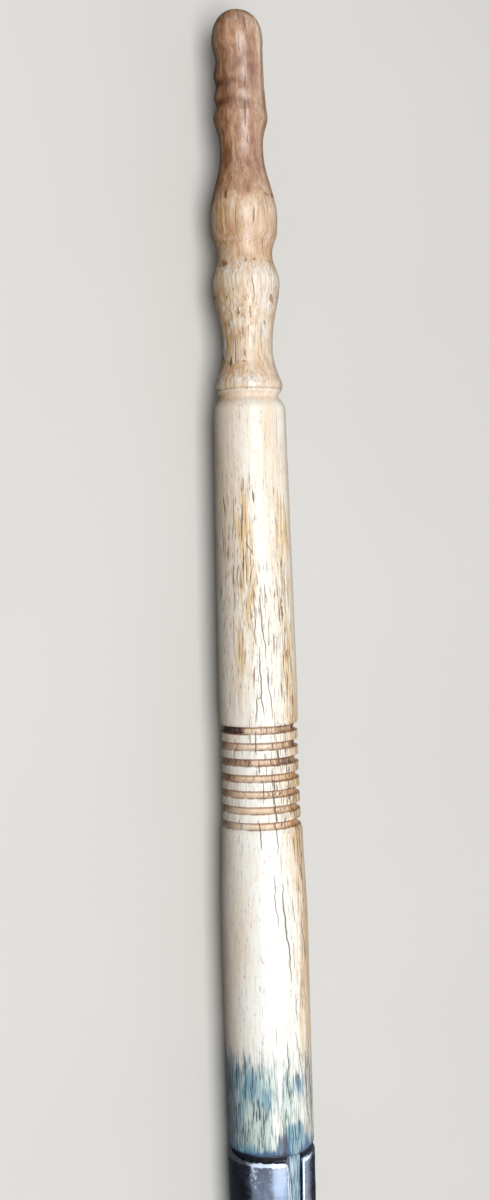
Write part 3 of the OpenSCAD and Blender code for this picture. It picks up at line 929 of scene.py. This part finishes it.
def finial_fields(x, angle, height, rubbed):
    """The finial's colours: browner towards its cap, dirty in the coves and notches, with painted shade
    and a painted warm reflection.
    """
    aged = smooth(14.5, 24.0, height)
    cove = near(height, 12.5, 1.3) + 0.7 * near(height, 21, 3.0)
    crowns = near(height, 16.8, 1.6) + near(height, 10.4, 1.3)
    warmth = 0.28 + 0.16 * smooth(11, 16, height) + 0.17 * aged + 0.10 * cove - 0.05 * crowns
    # The cosine term is a painted warm reflection: warmer on the side at about 100 degrees round,
    # cooler opposite.
    warmth += 0.12 * aged * np.cos(np.radians(angle - 100)) - 0.14 * smooth(31, 34, height)
    warmth += 0.10 * near(height, 18.6, 0.8) - 0.10 * smooth(2.4, 0.6, height)
    warmth += 0.06 * grain(47, x, angle, 2.5, 7) + 0.08 * grain(48, x, angle, 1.2, 12)
    pores = 0.33 + 0.25 * grain(41, x, angle, 6.0, 7)
    pores += 0.3 * patch(x, angle, 67, 70, 3, 40) + 0.2 * patch(x, angle, 67, 5, 3, 20)

    # Dark flecks stand where the coves run out into the beads and the end grain is open.
    sway = 0.25 * grain(49, x * 0, angle, 1, 24)
    flecks = sum(near(height, place + sway, 0.4) for place in COVE_ENDS)
    specks = smooth(0.1, 0.75, grain(50, x, angle, 0.55, 46))
    # lilac is painted shade over the lit middle of the cap.
    lilac = aged * near_angle(angle, 8, 28) * (1 + 0.5 * grain(52, x, angle, 3.0, 9))
    notch = sum(near(height, place, 0.35) for place in CAP_NOTCHES) * (1 - rubbed)
    # left_flank's extra gold is a painted warm reflection on that flank; the 0.28 all round is the
    # bone's own.
    left_flank = smooth(20, 90, angle_between(angle, 0)) * smooth(170, 130, angle)
    return {
        "warmth": warmth,
        "age": 0.45 + 0.45 * aged,
        "gold": 0.28 + 0.4 * left_flank,
        "pores": pores * smooth(1.0, 3.2, height),
        "dirt": 0.8 * notch + 0.3 * cove + 0.6 * smooth(0.35, 0.05, height),
        # shade: a little all over, and painted shade in the notches and over the middle of the cap.
        "shade": 0.34 + 0.4 * notch + 0.22 * lilac,
        "line": flecks * specks,
        "soot": 0.12 * notch,
    }


SEAL_GAP = 0.01
SEAL_EDGE_X, SEAL_EDGE_R = 0.08, 0.06


def make_pitch_seal():
    """The ring of black pitch squeezed out between bone and steel. It stops at the slit."""
    low, high = RIM_X + SEAL_GAP, SHOULDER_X - SEAL_GAP
    outline = [
        (low, TENON_R),
        (low, SEAL_R - SEAL_EDGE_R),
        (low + SEAL_EDGE_X, SEAL_R),
        (high - SEAL_EDGE_X, SEAL_R),
        (high, SEAL_R - SEAL_EDGE_R),
        (high, TENON_R),
    ]
    points = resampled(outline + [outline[0]], 0.04, 0)[:-1]
    half = math.degrees(math.asin(SLIT_W / 2 / SEAL_R))
    x, angle, r = turned_grid(points, np.linspace(half, 360 - half, SEAL_AROUND))
    outside = smooth(SEAL_R - 0.1, SEAL_R, r)
    r = r + outside * (0.03 * grain(51, angle * 0.1, angle, 1.5, 40) - 0.01)
    index = np.arange(x.size).reshape(x.shape)
    ends = [tuple(index[::-1, 0].tolist()), tuple(index[:, -1].tolist())]
    vertices = round_points(x, angle, r).reshape(-1, 3)
    return new_object("pitch_ring", vertices, quads(wrapped(index, 0)) + ends)


# ---- steel ----

SLEEVE_COLUMNS = 168
CORNER_R = 0.42
EDGE_ROUND = 0.13
LIP_STEP = 0.02
RIM_LAND = 0.34
RIM_ROUND_X, RIM_ROUND_R = 0.12, 0.08
RIM_THICKNESS = 0.1
BEND_REACH = 1.2
FILED_DEPTH = 0.06


def sleeve_outer_r(x):
    """Outside radius of the sleeve at x, with its worn rim and its lip."""
    stations = [
        (SLEEVE_END_X, LIP_R - EDGE_BREAK),
        (SLEEVE_END_X + EDGE_BREAK, LIP_R),
        (NECK_END_X - LIP_STEP, LIP_R),
        (NECK_END_X + LIP_STEP, NECK_OUTER_R),
        (NECK_X, NECK_OUTER_R),
        (TAPER_X, SLEEVE_R - SOCKET_DRAFT),
        (RIM_X - RIM_LAND, SLEEVE_R),
        (RIM_X - RIM_ROUND_X, SLEEVE_R - RIM_ROUND_R),
        (RIM_X, SLEEVE_R - SHEET + RIM_THICKNESS),
    ]
    return np.interp(x, *np.array(stations).T)


def sleeve_inner_r(x):
    taper_r = SLEEVE_R - SOCKET_DRAFT - SHEET
    bends = (SLEEVE_END_X, NECK_X, TAPER_X, RIM_X)
    return np.interp(x, bends, (NECK_INNER_R, NECK_INNER_R, taper_r, SLEEVE_R - SHEET))


def slit_half_width(x):
    widths = np.array([NECK_SLIT_W, SLIT_W - 2 * SLIT_NARROWING, SLIT_W])
    return np.interp(x, (NECK_X, TAPER_X, RIM_X), widths / 2)


def sleeve_places():
    """Places along the sleeve, close together at the rim and the lip."""
    rim = np.array([0, 0.04, 0.08, 0.13, 0.19, 0.26, 0.34, 0.44, 0.56, 0.7, 0.86, 1.05])
    body = np.arange(RIM_X - 1.3, NECK_END_X + 0.15, -0.28)
    lip = NECK_END_X + np.array([LIP_STEP, -LIP_STEP, -0.1, -0.22])
    end = SLEEVE_END_X + np.array([EDGE_BREAK, 0.07, 0])
    return np.concatenate([RIM_X - rim, body, lip, end])


def softened(radii, places):
    """Radii at places with the bends at both ends of the taper rounded, by averaging there."""
    result = radii.copy()
    for bend in (TAPER_X, NECK_X):
        at_bend = np.abs(places[1:-1] - bend) < BEND_REACH
        for _ in range(6):
            middle = (result[:-2] + 2 * result[1:-1] + result[2:]) / 4
            result[1:-1] = np.where(at_bend, middle, result[1:-1])
    return result


def rounding(share):
    """How far a round edge of radius 1 falls away, from 0 where it starts to 1 at its end."""
    return 1 - np.sqrt(1 - np.clip(share, 0, 1) ** 2)


def sheet_face(places, radii, turn_in):
    """x, angle, radius and distance from the slit over one face of the rolled sheet.

    turn_in is 1 for the outer face and -1 for the inner one, whose edges round the other way.
    """
    share = np.linspace(0, 1, SLEEVE_COLUMNS)
    closer_at_slit = share - 0.9 * np.sin(2 * math.pi * share) / (2 * math.pi)
    x, share, r = turned_grid(np.stack([places, radii], axis=1), closer_at_slit)
    half = np.degrees(np.arcsin(slit_half_width(x) / r))
    angle = half + share * (360 - 2 * half)
    from_slit = np.radians(np.minimum(angle - half, 360 - half - angle)) * r
    r = r - turn_in * EDGE_ROUND * rounding(1 - from_slit / EDGE_ROUND)
    back = CORNER_R * rounding(1 - from_slit / CORNER_R)
    nicks = 0.05 * (1 + grain(61, angle * 0.1, angle, 2.0, 70))
    nicks += 0.04 * (1 + grain(62, angle * 0.1, angle, 2.0, 150))
    fade = smooth(RIM_X - 2.2, RIM_X - 0.05, x)
    x = x - (back + nicks * smooth(RIM_X - 0.6, RIM_X, x)) * fade
    dents = 0.035 * grain(63, x, angle, 3.0, 9) + 0.015 * grain(64, x, angle, 1.0, 26)
    r = r + dents * smooth(NECK_X, TAPER_X, x)

    # The sheet is filed down a little round the rivet, so that the rivet's end shows.
    from_pin = np.hypot(x - PIN_X, np.radians(angle_between(angle, 180)) * r)
    filed = smooth(2.2 * PIN_R, 1.2 * PIN_R, from_pin)
    r = r * (1 - filed) + np.minimum(r, radii[:, None] - FILED_DEPTH) * filed
    return x, angle, r, from_slit


def sleeve_worn(x, angle, _, from_slit):
    """Bright metal: the rim, the slit's edges and a streak down from the rim."""
    rim = 1.15 * smooth(RIM_X - 0.75, RIM_X - 0.2, x)
    streak = 0.45 * smooth(RIM_X - 6.0, RIM_X - 0.5, x) * patch(x, angle, -13, 58, 9, 9)
    cut = 0.85 * smooth(0.22, 0.04, from_slit)
    return np.maximum(np.maximum(rim, cut), streak)


def make_split_sleeve():
    """The rolled sheet sleeve: a ragged worn rim, rounded slit corners, taper, neck and lip."""
    places = sleeve_places()
    outside = sheet_face(places, softened(sleeve_outer_r(places), places), 1)
    inside = sheet_face(places, softened(sleeve_inner_r(places), places), -1)
    vertices = np.concatenate([round_points(*face[:3]) for face in (outside, inside)])
    out, inn = np.arange(vertices.size // 3).reshape(2, len(places), SLEEVE_COLUMNS)
    faces = quads(wrapped(np.vstack([inn, out[::-1]]), 0))
    faces += quads(np.stack([out[:, 0], inn[:, 0]], axis=1))
    faces += quads(np.stack([inn[:, -1], out[:, -1]], axis=1))
    obj = new_object("steel_sleeve", vertices.reshape(-1, 3), faces)

    x = outside[0]
    grime = 0.75 * near(x, NECK_END_X, 0.5) + 0.3 * smooth(NECK_X + 2, NECK_X, x)
    set_field(obj, "worn", np.stack([sleeve_worn(*outside), 0.3 * sleeve_worn(*inside)]))
    set_field(obj, "grime", np.stack([grime, np.full_like(grime, 0.7)]))
    return obj


RING_TEETH = 36
TOOTH_POINTS = 10
RING_BORE_R = NECK_OUTER_R + 0.03
RING_CHAMFER = 0.35
RING_EDGE = 0.08
TOOTH_DEPTH = 0.16


def make_clamp_ring():
    """The knurled ring, with rounded teeth between two chamfers."""
    low, high = ring_low[0], ring_high[0]
    outline = [
        (low, RING_BORE_R + RING_EDGE),
        (low, RING_R - RING_CHAMFER),
        (low + RING_CHAMFER, RING_R),
        (high - RING_CHAMFER, RING_R),
        (high, RING_R - RING_CHAMFER),
        (high, RING_BORE_R + RING_EDGE),
        (high - RING_EDGE, RING_BORE_R),
        (low + RING_EDGE, RING_BORE_R),
    ]
    points = resampled(outline + [outline[0]], 0.1, 1)[:-1]
    x, angle, r = turned_grid(points, all_round(RING_TEETH * TOOTH_POINTS))
    tooth = np.abs((angle * RING_TEETH / 360 + 0.5) % 1 - 0.5) * 2
    knurled = smooth(RING_R - RING_CHAMFER, RING_R - RING_EDGE, r)
    groove = smooth(0.15, 0.95, tooth)
    r = r - (TOOTH_DEPTH * groove + 0.012 * (1 + grain(71, x, angle, 0.7, 60))) * knurled
    index = wrapped(wrapped(np.arange(x.size).reshape(x.shape), 0), 1)
    obj = new_object("steel_ring", round_points(x, angle, r).reshape(-1, 3), quads(index))
    set_field(obj, "worn", 0.75 * (1 - groove) * knurled + 0.35 * (1 - knurled))
    in_bore = smooth(RING_BORE_R + 0.3, RING_BORE_R, r)
    set_field(obj, "grime", 0.85 * groove * knurled + 0.6 * in_bore)
    return obj


# The point's sizes, as the CAD part has them
TANG_R = 1.57
TANG_LENGTH = 20.0
TANG_END_R = 0.3
NOSE_LENGTH, NOSE_DROP = 0.8, 0.4
COLLAR_GAP = 0.1
COLLAR_X = SLEEVE_END_X - COLLAR_GAP
COLLAR_W = 1.0
COVE_LENGTH, COVE_R, COVE_DEPTH = 1.6, 1.75, 0.25
SHANK_X = COLLAR_X - COLLAR_W
SHANK_LENGTH = 18.4
BEND_X = SHANK_X - SHANK_LENGTH
BEND_ANGLE, BEND_RADIUS = 20.0, 12.0
HOOK_LEAD, HOOK_RADIUS = 3.0, 3.0
BLADE_RADIUS = 7.0
TIP_CLEARANCE = 0.04
BLADE_DROP = SLEEVE_R - TIP_CLEARANCE
SHANK_R, BEND_R, HOOK_R = 0.8, 0.79, 0.62
BLADE_THINNING = 0.52
TIP_LENGTH = 0.06
CORNER_SHARPNESS, CORNER_REACH = 0.92, 0.2
POINT_AROUND = 48


def arc_path(start, radius, turn, steps):
    """Points (x, z, heading in degrees above -X) along an arc. A positive turn rises."""
    heading = start[2] + turn * np.arange(1, steps + 1) / steps
    signed = radius if turn > 0 else -radius
    a, b = np.radians(start[2]), np.radians(heading)
    x = start[0] - signed * (np.sin(b) - np.sin(a))
    z = start[1] + signed * (np.cos(a) - np.cos(b))
    return np.stack([x, z, heading], axis=1)


def line_path(start, distance, steps):
    along = distance * np.arange(1, steps + 1) / steps
    a = math.radians(start[2])
    return np.stack(
        [start[0] - along * math.cos(a), start[1] + along * math.sin(a), 0 * along + start[2]],
        axis=1,
    )


def straight_outline():
    """(x, r) down the tang, round the collar and along the shank."""
    tang_start = COLLAR_X + TANG_LENGTH
    cove = [
        (SHANK_X - t * COVE_LENGTH, COVE_R - COVE_DEPTH * (1 - math.cos(math.pi * t)) / 2)
        for t in np.linspace(0, 1, 8)
    ]
    return (
        [(tang_start, TANG_END_R), (tang_start, TANG_R - NOSE_DROP), (tang_start - NOSE_LENGTH, TANG_R)]
        + [(COLLAR_X, TANG_R), (COLLAR_X, LIP_R - EDGE_BREAK), (COLLAR_X - EDGE_BREAK, LIP_R)]
        + [(SHANK_X + EDGE_BREAK, LIP_R), (SHANK_X, LIP_R - EDGE_BREAK)]
        + cove
        + [(BEND_X, SHANK_R)]
    )


def hooked_end():
    """Path, radius and sharpness (0 round to 1 triangular) of the bend, hook and blade."""
    bend = arc_path((BEND_X, 0, 0), BEND_RADIUS, BEND_ANGLE, 16)
    lead = line_path(bend[-1], HOOK_LEAD, 10)
    hook = arc_path(lead[-1], HOOK_RADIUS, -90 - BEND_ANGLE, 44)
    blade_angle = math.degrees(math.asin((BLADE_DROP + hook[-1][1]) / BLADE_RADIUS))
    blade = arc_path(hook[-1], BLADE_RADIUS, -blade_angle, 40)
    path = np.vstack([bend, lead, hook, blade])

    # It thins evenly to the end of the hook. The blade then tapers to its tip.
    along = np.cumsum(np.hypot(*np.diff(np.vstack([[BEND_X, 0], path[:, :2]]), axis=0).T))
    blade_start = along[-len(blade) - 1]
    along_blade = np.clip((along - blade_start) / (along[-1] - blade_start), 0, 1)
    radius = np.interp(along, [0, blade_start], [BEND_R, HOOK_R])
    sharp_from = blade_start - HOOK_RADIUS * math.radians(60)
    sharp = smooth(sharp_from, blade_start + 0.5, along)
    return path, radius - BLADE_THINNING * along_blade ** 1.5, sharp


def corner_pull(angle, sharp):
    """Radius share at an angle of a section between a circle (0) and a triangle (1)."""
    from_corner = np.abs((angle + 30) % 120 - 60)
    triangle = 0.5 / np.cos(np.radians(60 - from_corner))
    blunted = 1 + sharp * (triangle - 1) * CORNER_SHARPNESS
    return blunted * (1 + CORNER_REACH * sharp)


def make_scaler_point():
    """The forged point: tang with its lug, collar, shank, rising bend, hook and blade."""
    straight = resampled(straight_outline(), 0.2, 1)
    curved, curved_r, curved_sharp = hooked_end()
    path = np.vstack([straight[:, :1] * [1, 0, 0], curved])
    radius = np.concatenate([straight[:, 1], curved_r])[:, None]
    sharp = np.concatenate([0 * straight[:, 1], curved_sharp])[:, None]
    angle = np.arange(POINT_AROUND)[None, :] * 360 / POINT_AROUND
    row, angles = np.broadcast_arrays(np.arange(len(path))[:, None] * 0.2, angle)
    hammered = 0.010 * grain(81, row, angles, 1.1, 9) * smooth(0.3, 0.8, radius)
    reach = radius * corner_pull(angle, sharp) + hammered
    outward = reach * np.sin(np.radians(angle))
    x, z, heading = path[:, :1], path[:, 1:2], np.radians(path[:, 2:])
    grid = np.stack(
        [
            x + outward * np.sin(heading),
            reach * np.cos(np.radians(angle)),
            z + outward * np.cos(heading),
        ],
        axis=-1,
    )
    end_x, end_z, end_heading = x[-1, 0], z[-1, 0], heading[-1, 0]
    tip_x = end_x - TIP_LENGTH * math.cos(end_heading)
    tip_z = end_z + TIP_LENGTH * math.sin(end_heading)
    vertices, faces = capped_tube(grid, (x[0, 0], 0, 0), (tip_x, 0, tip_z))
    lug_vertices, lug_faces = lug_block(len(vertices))
    obj = new_object("steel_point", np.vstack([vertices, lug_vertices]), faces + lug_faces)

    ridge = np.abs(np.cos(np.radians((angle - 90) * 1.5))) ** 6
    on_collar = (x > SHANK_X) & (x < COLLAR_X) & (radius > 2)
    worn = np.maximum(sharp * (0.35 + 0.65 * ridge), 0.5 * on_collar)
    grime = 0.6 * (x > COLLAR_X) + 0.5 * near(x, SHANK_X, 0.5) * (1 - sharp) + 0 * angle
    rest = np.ones(2 + len(lug_vertices))
    set_field(obj, "worn", np.concatenate([worn.ravel(), 0 * rest]))
    set_field(obj, "grime", np.concatenate([grime.ravel(), 0.5 * rest]))
    return obj


LUG_FROM_LIP, LUG_LENGTH = 1.0, 3.0
LUG_CLEARANCE = 0.05
LUG_BOTTOM = 1.2
LUG_CHAMFER = 0.2


def lug_block(first):
    """The key on the tang that runs in the sleeve's slit, as a block with chamfered ends.

    first is the number of its first vertex in the point's mesh.
    """
    low = NECK_END_X + LUG_FROM_LIP
    high = low + LUG_LENGTH
    half, top = NECK_SLIT_W / 2 - LUG_CLEARANCE, NECK_OUTER_R - LUG_CLEARANCE
    side = [(low, LUG_BOTTOM), (low, top - LUG_CHAMFER), (low + LUG_CHAMFER, top)]
    side += [(high - LUG_CHAMFER, top), (high, top - LUG_CHAMFER), (high, LUG_BOTTOM)]
    vertices = [(x, y, z) for y in (-half, half) for x, z in side]
    index = first + np.arange(len(vertices)).reshape(2, -1)
    ends = [tuple(index[0].tolist()), tuple(index[1, ::-1].tolist())]
    return np.array(vertices), ends + quads(wrapped(index, 1))


# ---- put together ----

def dress(obj, material, body, slot, *nodes):
    obj.data.materials.clear()
    obj.data.materials.append(material)
    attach(obj, body)
    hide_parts(*nodes)


bone = bone_material()
# Steels as (dark patina, light patina, worn metal, roughness)
dark_steel = steel_material("dark_steel", (95, 96, 110), (110, 123, 142), (200, 210, 228), 0.2)
ring_steel = steel_material("ring_steel", (74, 66, 74), (120, 114, 124), (176, 176, 184), 0.34)
pin_steel = steel_material("pin_steel", (120, 118, 122), (168, 168, 172), (200, 200, 204), 0.3)
point_steel = steel_material(
    "point_steel", (104, 98, 102), (150, 148, 152), (206, 208, 212), 0.26, rub=(0.6, 9.0, 9.0)
)

dress(make_handle_shaft(), bone, "handle", "bone", "handle_shaft")
dress(make_finial(), bone, "handle", "aged_bone", "finial")
dress(make_pitch_seal(), pitch_material(), "handle", "pitch", "pitch_seal")
dress(make_split_sleeve(), dark_steel, "handle", "dark_steel", "split_sleeve")
dress(make_clamp_ring(), ring_steel, "ring", "ring_steel", "clamp_ring")
dress(make_scaler_point(), point_steel, "point", "point_steel", "scaler_point")

for node, material in (("finial_cement", cement_material()), ("sleeve_pin", pin_steel)):
    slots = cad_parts[node].data.materials
    slots.clear()
    slots.append(material)


# ---- floor, light and camera ----

FLOOR_HALF = 3000.0


def make_floor():
    """A floor under the sleeve. It shows and takes shadows, but isn't mirrored in the steel."""
    signs = ((-1, -1), (1, -1), (1, 1), (-1, 1))
    corners = [(a * FLOOR_HALF, b * FLOOR_HALF, -SLEEVE_R) for a, b in signs]
    floor = new_object("floor", corners, [(0, 1, 2, 3)])
    floor.data.materials.append(floor_material())
    floor.visible_glossy = False
    floor.visible_diffuse = False


def make_world():
    """Studio surround: pale to the camera, soft from above, with a dark lower half.

    Reflections see a crisp horizon, as polished steel on a table does.
    """
    world = bpy.data.worlds.new("studio")
    bpy.context.scene.world = world
    world.use_nodes = True
    s = Nodes(world.node_tree)
    up = s.node("SeparateXYZ", s.node("TexCoord").outputs["Generated"]).outputs["Z"]
    ray = s.node("LightPath").outputs
    soft = s.node("MapRange", up, -0.15, 0.25, 0.14, 0.24).outputs[0]
    crisp = s.node("MapRange", up, -0.02, 0.05, 0.07, 1.35).outputs[0]
    lit = s.pick(ray["Is Glossy Ray"], soft, crisp)
    sky = s.tree.nodes["Background"]
    s.put(sky.inputs["Strength"], s.pick(ray["Is Camera Ray"], lit, 0.85))
    s.put(sky.inputs["Color"], (0.93, 0.97, 1.0, 1.0))


def make_light(name, place, target, size, watts):
    data = bpy.data.lights.new(name, "AREA")
    data.shape = "RECTANGLE"
    data.size, data.size_y = size[0] * MM, size[1] * MM
    data.energy = watts
    light = bpy.data.objects.new(name, data)
    bpy.context.scene.collection.objects.link(light)
    light.location = Vector(place) * MM
    aim = Vector(target) * MM - light.location
    light.rotation_euler = aim.to_track_quat("-Z", "Y").to_euler()


# The camera is above the shaft, tipped a little towards the working end and rolled a little.
CAMERA_LENS, CAMERA_SENSOR = 45.0, 36.0
CAMERA_DISTANCE = 142.7
CAMERA_OVER_X = 47.7
CAMERA_ROUND = 33.6
CAMERA_TIP = 2.29
CAMERA_YAW = 0.40
CAMERA_ROLL = 1.72


def make_camera():
    a = math.radians(CAMERA_ROUND)
    up, back = Vector((1, 0, 0)), Vector((0, math.sin(a), math.cos(a)))
    axes = Matrix((up.cross(back), up, back)).transposed()
    for degrees, axis in ((-CAMERA_TIP, "X"), (CAMERA_YAW, "Y"), (-CAMERA_ROLL, "Z")):
        axes = axes @ Matrix.Rotation(math.radians(degrees), 3, axis)
    data = bpy.data.cameras.new("camera")
    data.lens, data.sensor_width = CAMERA_LENS, CAMERA_SENSOR
    data.clip_start, data.clip_end = 0.005, 20
    camera = bpy.data.objects.new("camera", data)
    bpy.context.scene.collection.objects.link(camera)
    place = (CAMERA_OVER_X * up + CAMERA_DISTANCE * back) * MM
    camera.matrix_world = Matrix.Translation(place) @ axes.to_4x4()
    bpy.context.scene.camera = camera


make_floor()
make_world()
make_light("softbox", (30, 85, 330), (30, 0, 0), (420, 220), 1.42)
make_light("fill", (-80, -260, 160), (20, 0, 0), (200, 200), 0.12)
make_camera()
bpy.context.scene.view_settings.view_transform = "Standard"
